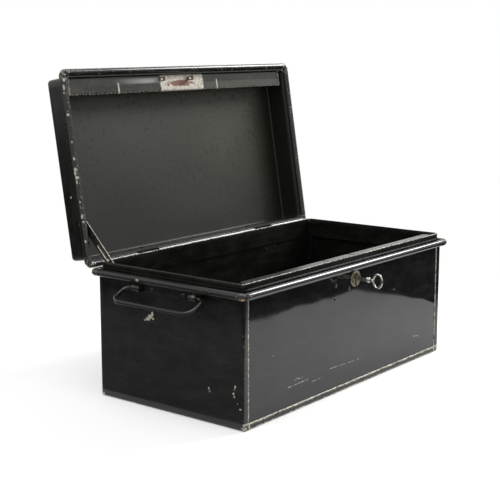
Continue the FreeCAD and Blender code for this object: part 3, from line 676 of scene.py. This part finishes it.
def japan(name, edges=(), spots=(), lines=(), base=BLACK, gloss=(0.10, 0.22), seed=0.0, rusty=0.1, ior=1.47, ripple=0.5, haze=0.35, swell=34):
    """Black japan over steel: glossy, a little uneven, rubbed through along the edges and chipped.

    edges holds (bands, how much paint is left): 0.40 is nearly bare, 0.65 nearly whole.
    """
    s = Shade(name)
    cloud = s.noise(9, 4, 0.6, shift=(seed, 0, seed))
    fine = s.noise(900, 2, 0.6, shift=(0, seed, 0))
    grain = s.noise(330, 4, 0.7, shift=(seed, seed, 0))
    warp = s.noise(640, 5, 0.75, shift=(seed, 0, 0))
    mottle = s.noise(46, 5, 0.65, shift=(0, 0, seed))
    col = s.mix(s.smooth(mottle, 0.35, 0.75), tuple(c * 0.75 for c in base), tuple(c * 1.35 for c in base))
    dust = s.product(s.smooth(grain, 0.56, 0.72), 0.38)
    col = s.mix(dust, col, (0.050, 0.048, 0.042))
    streak = s.noise(60, 5, 0.7, stretch=(0.4, 0.4, 1.5), shift=(seed, 2, seed))
    col = s.mix(s.product(s.smooth(streak, 0.40, 0.70), haze), col, (0.040, 0.040, 0.038))
    rough = s.mixf(s.smooth(cloud, 0.3, 0.7), gloss[0], gloss[1])
    worn = None
    if edges:
        cut = s.noise(430, 5, 0.75, shift=(seed, seed, seed))
        drift = s.noise(26, 2, 0.5, shift=(seed, 1, seed))
        cut = s.math("ADD", cut, s.math("MULTIPLY", s.math("SUBTRACT", drift, 0.5), 0.22))
        masks = [s.product(s.smooth(cut, left, left + 0.05), *[s.band(*b) for b in bands]) for bands, left in edges]
        worn = s.most(*masks)
    chips = [s.spot(c, r, warp) for c, r in spots]
    for start, end, half in lines:
        chips.append(scratch(s, start, end, half, warp))
    if chips:
        chipped = s.most(*chips)
        worn = chipped if worn is None else s.most(worn, chipped)
    metal = 0.0
    if worn is not None:
        stain = s.smooth(s.noise(130, 4, 0.6, shift=(seed + 5, 0, 0)), 0.66 - rusty, 0.76 - rusty * 0.5)
        bare = s.mix(stain, PALE, RUST)
        col = s.mix(worn, col, bare)
        rough = s.mixf(worn, rough, 0.45)
        metal = s.product(worn, 0.25)
    s.bump(fine, 0.012, 0.25)
    s.bump(s.noise(swell, 3, 0.5, shift=(seed, 3, 0)), 4.08 / swell, ripple)
    if worn is not None:
        s.bump(s.math("SUBTRACT", 1.0, worn), 0.08, 0.6)
    return s.finish(col, rough, metal, ior)


def scratch(s, start, end, half, warp):
    """A thin broken line between two points."""
    a, b = Vector(start), Vector(end)
    along = (b - a).normalized()
    m = s.nt.nodes.new("ShaderNodeVectorMath")
    m.operation = "SUBTRACT"
    s.put(m.inputs[0], s.pos)
    m.inputs[1].default_value = a * MM
    dot = s.nt.nodes.new("ShaderNodeVectorMath")
    dot.operation = "DOT_PRODUCT"
    s.put(dot.inputs[0], m.outputs[0])
    dot.inputs[1].default_value = along
    length = (b - a).length * MM
    inside = s.product(s.smooth(dot.outputs["Value"], 0, 0.001), s.smooth(dot.outputs["Value"], length - 0.001, length, 1.0, 0.0))
    scaled = s.nt.nodes.new("ShaderNodeVectorMath")
    scaled.operation = "SCALE"
    scaled.inputs[0].default_value = along
    s.put(scaled.inputs["Scale"], dot.outputs["Value"])
    off = s.nt.nodes.new("ShaderNodeVectorMath")
    off.operation = "DISTANCE"
    s.put(off.inputs[0], m.outputs[0])
    s.put(off.inputs[1], scaled.outputs[0])
    v = s.math("ADD", off.outputs["Value"], s.math("MULTIPLY", s.math("SUBTRACT", warp, 0.5), half * 3.2 * MM))
    breaks = s.smooth(s.noise(210, 3, 0.7, shift=(start[0], 2, 7)), 0.46, 0.50)
    return s.product(inside, breaks, s.smooth(v, half * 0.8 * MM, half * MM, 1.0, 0.0))


def steel(name, base, rough=(0.28, 0.5), rust=0.3, metallic=0.85, seed=0.0):
    """Bare metal, dull and stained."""
    s = Shade(name)
    cloud = s.noise(120, 5, 0.65, shift=(seed, 0, 0))
    grain = s.noise(1500, 2, 0.5, stretch=(1, 0.2, 1), shift=(0, seed, 0))
    stain = s.smooth(cloud, 0.72 - rust * 0.4, 0.85 - rust * 0.4)
    col = s.mix(s.smooth(grain, 0.3, 0.7), tuple(c * 0.8 for c in base), tuple(min(1, c * 1.15) for c in base))
    col = s.mix(stain, col, RUST)
    r = s.mixf(s.smooth(cloud, 0.35, 0.65), rough[0], rough[1])
    r = s.mixf(stain, r, 0.75)
    s.bump(grain, 0.01, 0.3)
    s.bump(cloud, 0.05, 0.4)
    return s.finish(col, r, s.product(s.math("SUBTRACT", 1.0, stain), metallic), 1.5)


def lid_inside(name):
    """The lid's inside: thinner, greyer paint, satin, with dark freckles in slanting drifts; painted shade darkens it
    toward the hinge and the left, and along the right skirt.
    """
    s = Shade(name)
    cloud = s.noise(7, 4, 0.6)
    tone = s.mix(s.smooth(cloud, 0.3, 0.7), (0.0375, 0.0360, 0.0225), (0.054, 0.0525, 0.0350))
    # Painted shade: the paint is made darker toward the hinge and the left end, where the open lid gets less light.
    shade_toward_hinge = s.smooth(s.math("ADD", s.axes["y"], s.math("MULTIPLY", s.axes["x"], -0.28)), -0.14, 0.15, 1.0, 0.0)
    tone = s.mix(shade_toward_hinge, (0.012, 0.0118, 0.0085), tone)
    # Painted shade: the right skirt's inside, and the panel next to it, are darkened.
    tone = s.mix(s.product(s.smooth(s.axes["x"], 0.164, 0.190), 0.78), tone, (0.006, 0.006, 0.0045))
    drift = s.noise(14, 3, 0.6, stretch=(1, 1.8, 1), shift=(3, 1, 0), distort=0.8)
    freckle = s.noise(190, 4, 0.65, shift=(2, 5, 0))
    dark = s.product(s.smooth(freckle, 0.54, 0.61), s.smooth(drift, 0.38, 0.55))
    tone = s.mix(s.product(dark, 0.9), tone, (0.008, 0.008, 0.007))
    speck = s.noise(520, 3, 0.6, shift=(9, 2, 0))
    tone = s.mix(s.product(s.smooth(speck, 0.62, 0.70), 0.35), tone, (0.12, 0.12, 0.10))
    warp = s.noise(700, 3, 0.6)
    pale = s.most(scratch(s, (128, -64, 181), (150, -44, 181), 0.3, warp), scratch(s, (112, -50, 181), (119, -47, 181), 0.25, warp))
    tone = s.mix(pale, tone, (0.20, 0.20, 0.17))
    grain = s.noise(420, 4, 0.6)
    r = s.mixf(s.smooth(grain, 0.3, 0.7), 0.42, 0.58)
    s.bump(grain, 0.03, 0.5)
    return s.finish(tone, r, 0.0, 1.42)


def strip_paint(name):
    """The strip inside the lid: dark glossy paint, rubbed to bare metal where the lock meets it, with painted
    reflections and a painted highlight on its face.
    """
    s = Shade(name)
    streak = s.noise(30, 4, 0.6, stretch=(0.35, 2.2, 1), shift=(1, 4, 0))
    mottle = s.noise(240, 4, 0.65, shift=(4, 0, 1))
    col = s.mix(s.smooth(streak, 0.35, 0.65), (0.010, 0.010, 0.007), (0.042, 0.041, 0.030))
    # Painted reflections: a dark brownish band above and a paler band below, right of the bare patch.
    painted_pale_reflection = s.product(s.smooth(s.axes["y"], -0.0915, -0.0895), s.smooth(s.axes["x"], 0.030, 0.045))
    painted_dark_reflection = s.product(s.smooth(s.axes["y"], -0.0915, -0.0895, 1.0, 0.0), s.smooth(s.axes["x"], 0.030, 0.045))
    col = s.mix(s.product(painted_dark_reflection, 0.8), col, (0.010, 0.008, 0.003))
    col = s.mix(s.product(painted_pale_reflection, 0.7), col, (0.075, 0.078, 0.064))
    col = s.mix(s.product(s.smooth(mottle, 0.5, 0.7), 0.4), col, (0.085, 0.088, 0.070))
    # Painted highlight: a pale streak along the strip, left of the bare patch.
    painted_highlight = s.product(s.smooth(s.axes["x"], -0.130, -0.055), s.smooth(s.axes["x"], -0.040, -0.038, 1.0, 0.0), s.band("y", -94.5, 1.6, 1.6))
    col = s.mix(s.product(painted_highlight, s.smooth(streak, 0.25, 0.6), 0.8), col, (0.55, 0.55, 0.52))
    warp = s.noise(260, 4, 0.65, shift=(3, 3, 0))
    along = s.math("ABSOLUTE", s.math("SUBTRACT", s.axes["x"], -4.5 * MM))
    edge = s.math("ADD", along, s.math("MULTIPLY", s.math("SUBTRACT", warp, 0.5), 9 * MM))
    patch = s.smooth(edge, 0.0385, 0.0400, 1.0, 0.0)
    lens = s.spot((-6, -90, 155), (27, 3.6, 6), s.noise(170, 4, 0.7, shift=(0, 6, 0)))
    thin = s.noise(330, 5, 0.7, shift=(6, 0, 6))
    bare = s.mix(s.smooth(thin, 0.45, 0.62), (0.70, 0.66, 0.58), (0.40, 0.36, 0.29))
    bare = s.mix(s.smooth(s.noise(600, 3, 0.6), 0.62, 0.68), bare, (0.14, 0.11, 0.09))
    bare = s.mix(lens, bare, (0.21, 0.10, 0.065))
    marks = s.most(*[s.product(s.band("x", x, w, 0.6), s.smooth(s.math("ADD", s.axes["y"], s.math("MULTIPLY", warp, 3 * MM)), -0.0925, -0.0915))
                     for x, w in ((-115, 0.9), (62, 0.8))])
    ends = s.product(s.smooth(s.axes["ax"], 0.1905, 0.192), s.smooth(s.noise(430, 4, 0.7), 0.46, 0.52))
    edge_wear = s.product(s.band("z", 155.6, 0.5, 0.5), s.smooth(s.axes["y"], -0.0825, -0.082), s.smooth(s.noise(380, 5, 0.7), 0.50, 0.56))
    worn = s.most(patch, marks, ends, edge_wear)
    col = s.mix(worn, col, s.mix(patch, PALE, bare))
    rough = s.mixf(worn, s.mixf(s.smooth(streak, 0.3, 0.7), 0.10, 0.25), 0.5)
    s.bump(s.noise(60, 3, 0.5), 0.25, 0.6)
    s.bump(s.math("SUBTRACT", 1.0, worn), 0.06, 0.5)
    return s.finish(col, rough, s.product(patch, 0.2), 1.5)


def painted_strip(name):
    """The lid stay: dull paint on its flats and rusty bare edges."""
    s = Shade(name)
    geo = s.nt.nodes.new("ShaderNodeNewGeometry")
    split = s.nt.nodes.new("ShaderNodeSeparateXYZ")
    s.nt.links.new(geo.outputs["Normal"], split.inputs[0])
    flat = s.smooth(s.math("ABSOLUTE", split.outputs[0]), 0.5, 0.8)
    grain = s.noise(420, 4, 0.65)
    paint = s.mix(s.smooth(grain, 0.35, 0.7), (0.020, 0.021, 0.017), (0.045, 0.045, 0.036))
    edge = s.mix(s.smooth(s.noise(260, 4, 0.6), 0.40, 0.60), (0.13, 0.095, 0.065), (0.34, 0.31, 0.25))
    worn = s.smooth(s.noise(300, 5, 0.7, shift=(5, 5, 5)), 0.62, 0.68)
    col = s.mix(flat, edge, s.mix(worn, paint, (0.30, 0.26, 0.20)))
    s.bump(grain, 0.03, 0.5)
    return s.finish(col, 0.42, 0.1, 1.45)


def assign(obj, mat):
    obj.data.materials.clear()
    obj.data.materials.append(mat)


# ---- pieces ----

LIP_EDGES = [
    ((("ax", HALF_L - LIP, 0.9), ("y", -HALF_W, 1.4)), 0.43),
    ((("x", LIP - HALF_L - 0.9, 1.2), ("y", -HALF_W, 1.4)), 0.50),
    ((("z", BOTTOM_LIP, 0.9), ("y", -HALF_W, 1.4), ("x", 0, HALF_L - LIP)), 0.42),
    ((("z", BOTTOM_LIP - 0.9, 1.1), ("y", -HALF_W, 1.4), ("x", 0, HALF_L - LIP)), 0.52),
    ((("ax", HALF_L, 0.7), ("ay", HALF_W, 1.2)), 0.63),
    ((("z", 0, 1.7), ("ay", HALF_W, 1.8)), 0.47),
    ((("z", 0, 1.6), ("ax", HALF_L, 1.8)), 0.55),
    ((("ax", HALF_L, 4), ("ay", HALF_W, 4), ("z", 0, 4)), 0.47),
]
BODY_CHIPS = [
    ((-200, 23.2, 105.2), (2, 1.7, 3.0)), ((-200, 26.4, 102.0), (2, 3.0, 2.4)), ((-200, 29.6, 99.0), (2, 3.4, 1.7)),
    ((-200, 33.6, 97.4), (2, 1.6, 0.8)), ((-200, 22.0, 100.4), (2, 1.3, 1.2)),
    ((-200, -55.4, 38.2), (2, 1.0, 1.7)), ((-200, -56.4, 35.2), (2, 1.3, 1.4)),
    ((-200, -90.6, 46.4), (2, 1.1, 1.5)), ((-200, -89.6, 43.6), (2, 0.7, 1.2)), ((-200, -88.3, 38.6), (2, 1.3, 1.6)),
    ((-200, -89.4, 35.4), (2, 0.9, 1.3)), ((-200, -97.2, 23.6), (2, 1.6, 1.0)), ((-200, -93.4, 29.0), (2, 0.6, 0.9)),
]

wrapper = wrapper_mesh()
assign(wrapper, japan("japan_wrapper", LIP_EDGES, BODY_CHIPS, base=(0.0086, 0.0090, 0.0078), seed=1.0, haze=0.28))
wrapper.data.materials.append(japan("japan_inside", seed=14.0, gloss=(0.16, 0.3), base=(0.0086, 0.0088, 0.0076), haze=0.15))
wrapper.modifiers["sheet"].material_offset = 1
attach(wrapper, "body")
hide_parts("wrapper")

front = front_panel_mesh()
FRONT_SCRATCHES = [
    ((-124, -101, 28.8), (-86, -101, 29.5), 0.45), ((-45.1, -101, 31.6), (24.6, -101, 29.7), 0.35),
    ((139.6, -101, 31.3), (155.3, -101, 29.0), 0.4), ((-112, -101, 34.0), (-96, -101, 34.6), 0.3), ((-80, -101, 25.0), (-58, -101, 25.4), 0.3),
]
FRONT_SPOTS = [
    ((-107.4, -101.3, 35.4), (0.9, 0.9, 0.9)), ((91, -101.3, 99), (0.7, 0.9, 0.5)), ((-20, -101.3, 52), (0.5, 0.9, 0.5)),
    ((60, -101.3, 60), (0.5, 0.9, 0.4)), ((-150, -101.3, 70), (0.5, 0.9, 0.6)), ((120, -101.3, 44), (0.6, 0.9, 0.4)),
]
assign(front, japan("japan_front", [], FRONT_SPOTS, FRONT_SCRATCHES, seed=2.0, gloss=(0.03, 0.075), rusty=-0.1,
                    base=(0.0112, 0.0110, 0.0122), ripple=0.3, swell=15))
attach(front, "body")
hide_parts("front_panel")

rim, rim_web = rolled_rim("body_rim", BEAD_LEVEL, (NECK_X, NECK_Y, NECK_CORNER), seed=3.3)
RIM_WEAR = [((("ax", HALF_L + BEAD_OFF, 7), ("ay", HALF_W + BEAD_OFF, 7)), 0.56), ((("z", BEAD_LEVEL, 0.9), ("ax", HALF_L + 8.2, 0.5)), 0.64)]
for o in (rim, rim_web):
    assign(o, japan("japan_" + o.name, RIM_WEAR, [((-208, 36.7, 142), (3, 2.6, 1.4)), ((-206, -104, 140), (3, 3.2, 2.2))],
                    seed=3.0, gloss=(0.10, 0.18), rusty=0.25, ripple=0.7))
    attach(o, "body")
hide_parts("rim_bead")

neck = neck_mesh()
assign(neck, japan("japan_neck", [((("z", NECK_TOP, 0.7), ("ay", NECK_Y, 3)), 0.47), ((("z", NECK_TOP, 0.6), ("ax", NECK_X, 3)), 0.62)], seed=4.0, rusty=0.0))
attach(neck, "body")
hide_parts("neck")

tray = lid_tray_mesh()
tray.data.materials.clear()
tray.data.materials.append(japan("japan_lid", [((("z", LID_BEAD + 1, 0.9),), 0.58)], [((-200, 30, 168), (2, 1.2, 1.2))], seed=5.0))
tray.data.materials.append(lid_inside("lid_inside"))
tray.modifiers["sheet"].material_offset = 1
tray.modifiers["sheet"].material_offset_rim = 0
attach(tray, "lid")
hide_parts("lid_panel", "lid_skirt")

strip = catch_strip_mesh()
assign(strip, strip_paint("strip_paint"))
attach(strip, "lid")
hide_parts("catch_strip")

lid_rim, lid_web = rolled_rim("lid_rim_roll", LID_BEAD, (HALF_L - SHEET, HALF_W - SHEET, LID_CORNER - SHEET), matrix=LID_TURN, seed=8.1, web_reach=0.8, web_notched=False)
LID_CHIPS = [((-207, y, z), (4, r, t)) for y, z, r, t in (
    (-98, 147.0, 2.2, 0.8), (-90, 147.6, 3.4, 0.7), (-84, 148.0, 1.2, 0.6), (-60, 147.4, 1.6, 0.9), (-30, 147.2, 1.2, 0.5), (-12, 147.4, 2.0, 0.7),
    (0, 147.4, 2.2, 1.3), (4, 148.2, 2.6, 1.0), (9, 147.2, 2.0, 1.2), (14, 147.6, 2.4, 0.6), (36, 147.4, 1.4, 0.5), (52, 147.4, 2.6, 0.8),
    (58, 147.0, 1.4, 0.6), (80, 147.4, 1.8, 0.7))]
# Worn edges; the last band, along the front of the rolled rim (the top when open), is partly wear and partly a painted
# highlight.
LID_WEAR_AND_GLINT = [((("ax", HALF_L + BEAD_OFF, 7), ("ay", HALF_W + BEAD_OFF, 7)), 0.52), ((("z", LID_BEAD - 3.6, 0.8),), 0.60),
            ((("y", -110.4, 0.9), ("z", LID_BEAD - 0.6, 1.5)), 0.52)]
for o in (lid_rim, lid_web):
    assign(o, japan("japan_" + o.name, LID_WEAR_AND_GLINT, LID_CHIPS, seed=6.0, ripple=0.7))
    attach(o, "lid")
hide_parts("lid_rim")

plate = keyhole_plate_mesh()
brass = steel("aged_brass", (0.20, 0.175, 0.12), rough=(0.25, 0.42), rust=0.25, seed=5.0)
assign(plate, brass)
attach(plate, "body")
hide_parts("escutcheon")

key_metal = steel("key_steel", (0.42, 0.41, 0.37), rough=(0.2, 0.35), rust=0.1, seed=4.0)
for piece in key_meshes():
    assign(piece, key_metal)
    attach(piece, "key")
    if piece.name == "key_bow":
        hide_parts("key")

BY_SLOT = {"japanned_steel": japan("japan_plain", seed=7.0), "bare_steel": steel("bare_steel", (0.34, 0.31, 0.25), rust=0.5),
           "steel_wire": steel("wire_steel", (0.40, 0.40, 0.40), rust=0.1, seed=3.0),
           "lock_steel": steel("lock_steel", (0.30, 0.29, 0.27), seed=2.0), "key_steel": key_metal, "brass": brass}
SLOT_OF = {s["node"]: s["material_slot"] for s in frame["record"]["subparts"]}
for name, node in nodes.items():
    if not node.hide_render:
        assign(node, BY_SLOT[SLOT_OF[name]])
for side in (-1, 1):
    near = "left" if side < 0 else "right"
    spots = [((side * 205, e * 43 + d, 132 + u), (6, r, r)) for e in (-1, 1) for d, u, r in ((2, 3, 1.8), (-5, -3, 1.4), (6, 5, 1.2))]
    worn_black = japan("japan_handle_" + near, [], spots, seed=9.0, gloss=(0.16, 0.3), rusty=0.4)
    for part in ("_handle", "_handle_plate", "_handle_clips", "_handle_rivets"):
        assign(nodes[near + part], worn_black)
    assign(nodes[near + "_handle"], japan("japan_bail_" + near, [((("ax", 225, 40),), 0.66)], seed=12.0, gloss=(0.2, 0.34), base=(0.007, 0.006, 0.005), ripple=1.0, haze=0.1))
matt = japan("japan_hinge", seed=13.0, gloss=(0.45, 0.6), ior=1.3)
for name in ("hinge_leaves_body", "hinge_leaves_lid", "hinge_pins", "hinge_rivets_body", "hinge_rivets_lid"):
    assign(nodes[name], matt)
assign(nodes["stay_strip"], painted_strip("stay_paint"))
assign(nodes["back_panel"], japan("japan_back", seed=8.0, gloss=(0.12, 0.25)))
assign(nodes["lock_deck"], japan("japan_deck", [((("y", -99, 40), ("z", 153.6, 0.4)), 0.66)], seed=11.0, gloss=(0.2, 0.34), base=(0.016, 0.016, 0.014)))

# ---- stage ----

scene = bpy.context.scene
scene.view_settings.view_transform = "Standard"


def plane(name, x0, x1, y0, y1, z):
    verts = [(x0, y0, z), (x1, y0, z), (x1, y1, z), (x0, y1, z)]
    mesh = bpy.data.meshes.new(name)
    mesh.from_pydata(verts, [], [(0, 1, 2, 3)])
    obj = bpy.data.objects.new(name, mesh)
    scene.collection.objects.link(obj)
    return obj


def floor_material():
    """White paper: shaded by the lamps near the box, plain white further off where only the eye and the varnish see it."""
    mat = bpy.data.materials.new("floor")
    mat.use_nodes = True
    nt = mat.node_tree
    nt.nodes.clear()
    out = nt.nodes.new("ShaderNodeOutputMaterial")
    diffuse = nt.nodes.new("ShaderNodeBsdfDiffuse")
    diffuse.inputs["Color"].default_value = (0.8, 0.8, 0.8, 1)
    glow = nt.nodes.new("ShaderNodeEmission")
    glow.inputs["Strength"].default_value = 0.42
    white = nt.nodes.new("ShaderNodeEmission")
    white.inputs["Strength"].default_value = 1.0
    path = nt.nodes.new("ShaderNodeLightPath")
    seen = nt.nodes.new("ShaderNodeMath")
    seen.operation = "MAXIMUM"
    nt.links.new(path.outputs["Is Camera Ray"], seen.inputs[0])
    nt.links.new(path.outputs["Is Glossy Ray"], seen.inputs[1])
    coord = nt.nodes.new("ShaderNodeTexCoord")
    away = nt.nodes.new("ShaderNodeVectorMath")
    away.operation = "LENGTH"
    nt.links.new(coord.outputs["Object"], away.inputs[0])
    far = nt.nodes.new("ShaderNodeMapRange")
    far.interpolation_type = "SMOOTHSTEP"
    far.inputs["From Min"].default_value = 0.32
    far.inputs["From Max"].default_value = 0.75
    nt.links.new(away.outputs["Value"], far.inputs["Value"])
    near = nt.nodes.new("ShaderNodeAddShader")
    nt.links.new(diffuse.outputs[0], near.inputs[0])
    nt.links.new(glow.outputs[0], near.inputs[1])
    shown = nt.nodes.new("ShaderNodeMixShader")
    nt.links.new(far.outputs[0], shown.inputs[0])
    nt.links.new(near.outputs[0], shown.inputs[1])
    nt.links.new(white.outputs[0], shown.inputs[2])
    pick = nt.nodes.new("ShaderNodeMixShader")
    nt.links.new(seen.outputs[0], pick.inputs[0])
    nt.links.new(diffuse.outputs[0], pick.inputs[1])
    nt.links.new(shown.outputs[0], pick.inputs[2])
    nt.links.new(pick.outputs[0], out.inputs["Surface"])
    return mat


floor = plane("floor", -30, 30, -30, 30, 0.0)
assign(floor, floor_material())


def card(name, x0, x1, y0, y1, tone=0.01):
    """A card that only shows in the varnish: the table beyond the sheet the box stood on, and, for the grey one near
    the left end, painted shade for the floor in the box's shadow.
    """
    obj = plane(name, x0, x1, y0, y1, 0.0015)
    mat = bpy.data.materials.new(name)
    mat.use_nodes = True
    bsdf = mat.node_tree.nodes["Principled BSDF"]
    bsdf.inputs["Base Color"].default_value = (tone, tone, tone * 1.03, 1)
    bsdf.inputs["Roughness"].default_value = 1.0
    bsdf.inputs["Specular IOR Level"].default_value = 0.0
    assign(obj, mat)
    obj.visible_camera = False
    obj.visible_diffuse = False
    obj.visible_shadow = False
    obj.visible_transmission = False
    return obj


card("card_right", 0.435, 6, -6, 6)
card("card_front", -6, 0.435, -6, -0.378)
# Painted shade: this grey card beside the box's left end stands for the floor in the box's shadow, as the varnish shows
# it.
card("shadow_card_left", -0.56, -0.215, -0.378, 6, 0.34)
card("card_left_far", -6, -0.55, -0.378, 6)
card("card_back", -0.225, 0.435, 0.40, 6)

world = bpy.data.worlds.new("world")
scene.world = world
world.use_nodes = True
nt = world.node_tree
nt.nodes.clear()
out = nt.nodes.new("ShaderNodeOutputWorld")
dull = nt.nodes.new("ShaderNodeBackground")
dull.inputs["Color"].default_value = (1, 1, 1, 1)
dull.inputs["Strength"].default_value = 0.38
white = nt.nodes.new("ShaderNodeBackground")
white.inputs["Color"].default_value = (1, 1, 1, 1)
white.inputs["Strength"].default_value = 1.0
path = nt.nodes.new("ShaderNodeLightPath")
pick = nt.nodes.new("ShaderNodeMixShader")
seen = nt.nodes.new("ShaderNodeMath")
seen.operation = "MAXIMUM"
nt.links.new(path.outputs["Is Camera Ray"], seen.inputs[0])
nt.links.new(path.outputs["Is Glossy Ray"], seen.inputs[1])
nt.links.new(seen.outputs[0], pick.inputs[0])
nt.links.new(dull.outputs[0], pick.inputs[1])
nt.links.new(white.outputs[0], pick.inputs[2])
nt.links.new(pick.outputs[0], out.inputs["Surface"])


def softbox(name, direction, distance, size, power, target=(0, 0, 0.12)):
    light = bpy.data.lights.new(name, "AREA")
    light.shape = "RECTANGLE"
    light.size, light.size_y = size
    light.energy = power
    obj = bpy.data.objects.new(name, light)
    scene.collection.objects.link(obj)
    d = Vector(direction).normalized()
    obj.location = Vector(target) + d * distance
    obj.rotation_euler = (-d).to_track_quat("-Z", "Y").to_euler()
    return obj


softbox("key", (0.757, -0.25, 0.55), 2.4, (0.9, 0.7), 42)
softbox("top", (-0.25, 0.1, 1.0), 2.2, (1.2, 1.2), 22)

# ---- camera ----

FOCAL_PX = 1145.7
YAW, PITCH = math.radians(51.895), math.radians(10.352)
camera = bpy.data.cameras.new("camera")
camera.sensor_fit = "HORIZONTAL"
camera.sensor_width = 36.0
camera.lens = FOCAL_PX * camera.sensor_width / 500.0
camera.clip_start, camera.clip_end = 0.05, 100
cam = bpy.data.objects.new("camera", camera)
scene.collection.objects.link(cam)
cam.location = (-1.07227, -0.79381, 0.39248)
look = Vector((math.sin(YAW) * math.cos(PITCH), math.cos(YAW) * math.cos(PITCH), -math.sin(PITCH)))
cam.rotation_euler = look.to_track_quat("-Z", "Y").to_euler()
scene.camera = cam
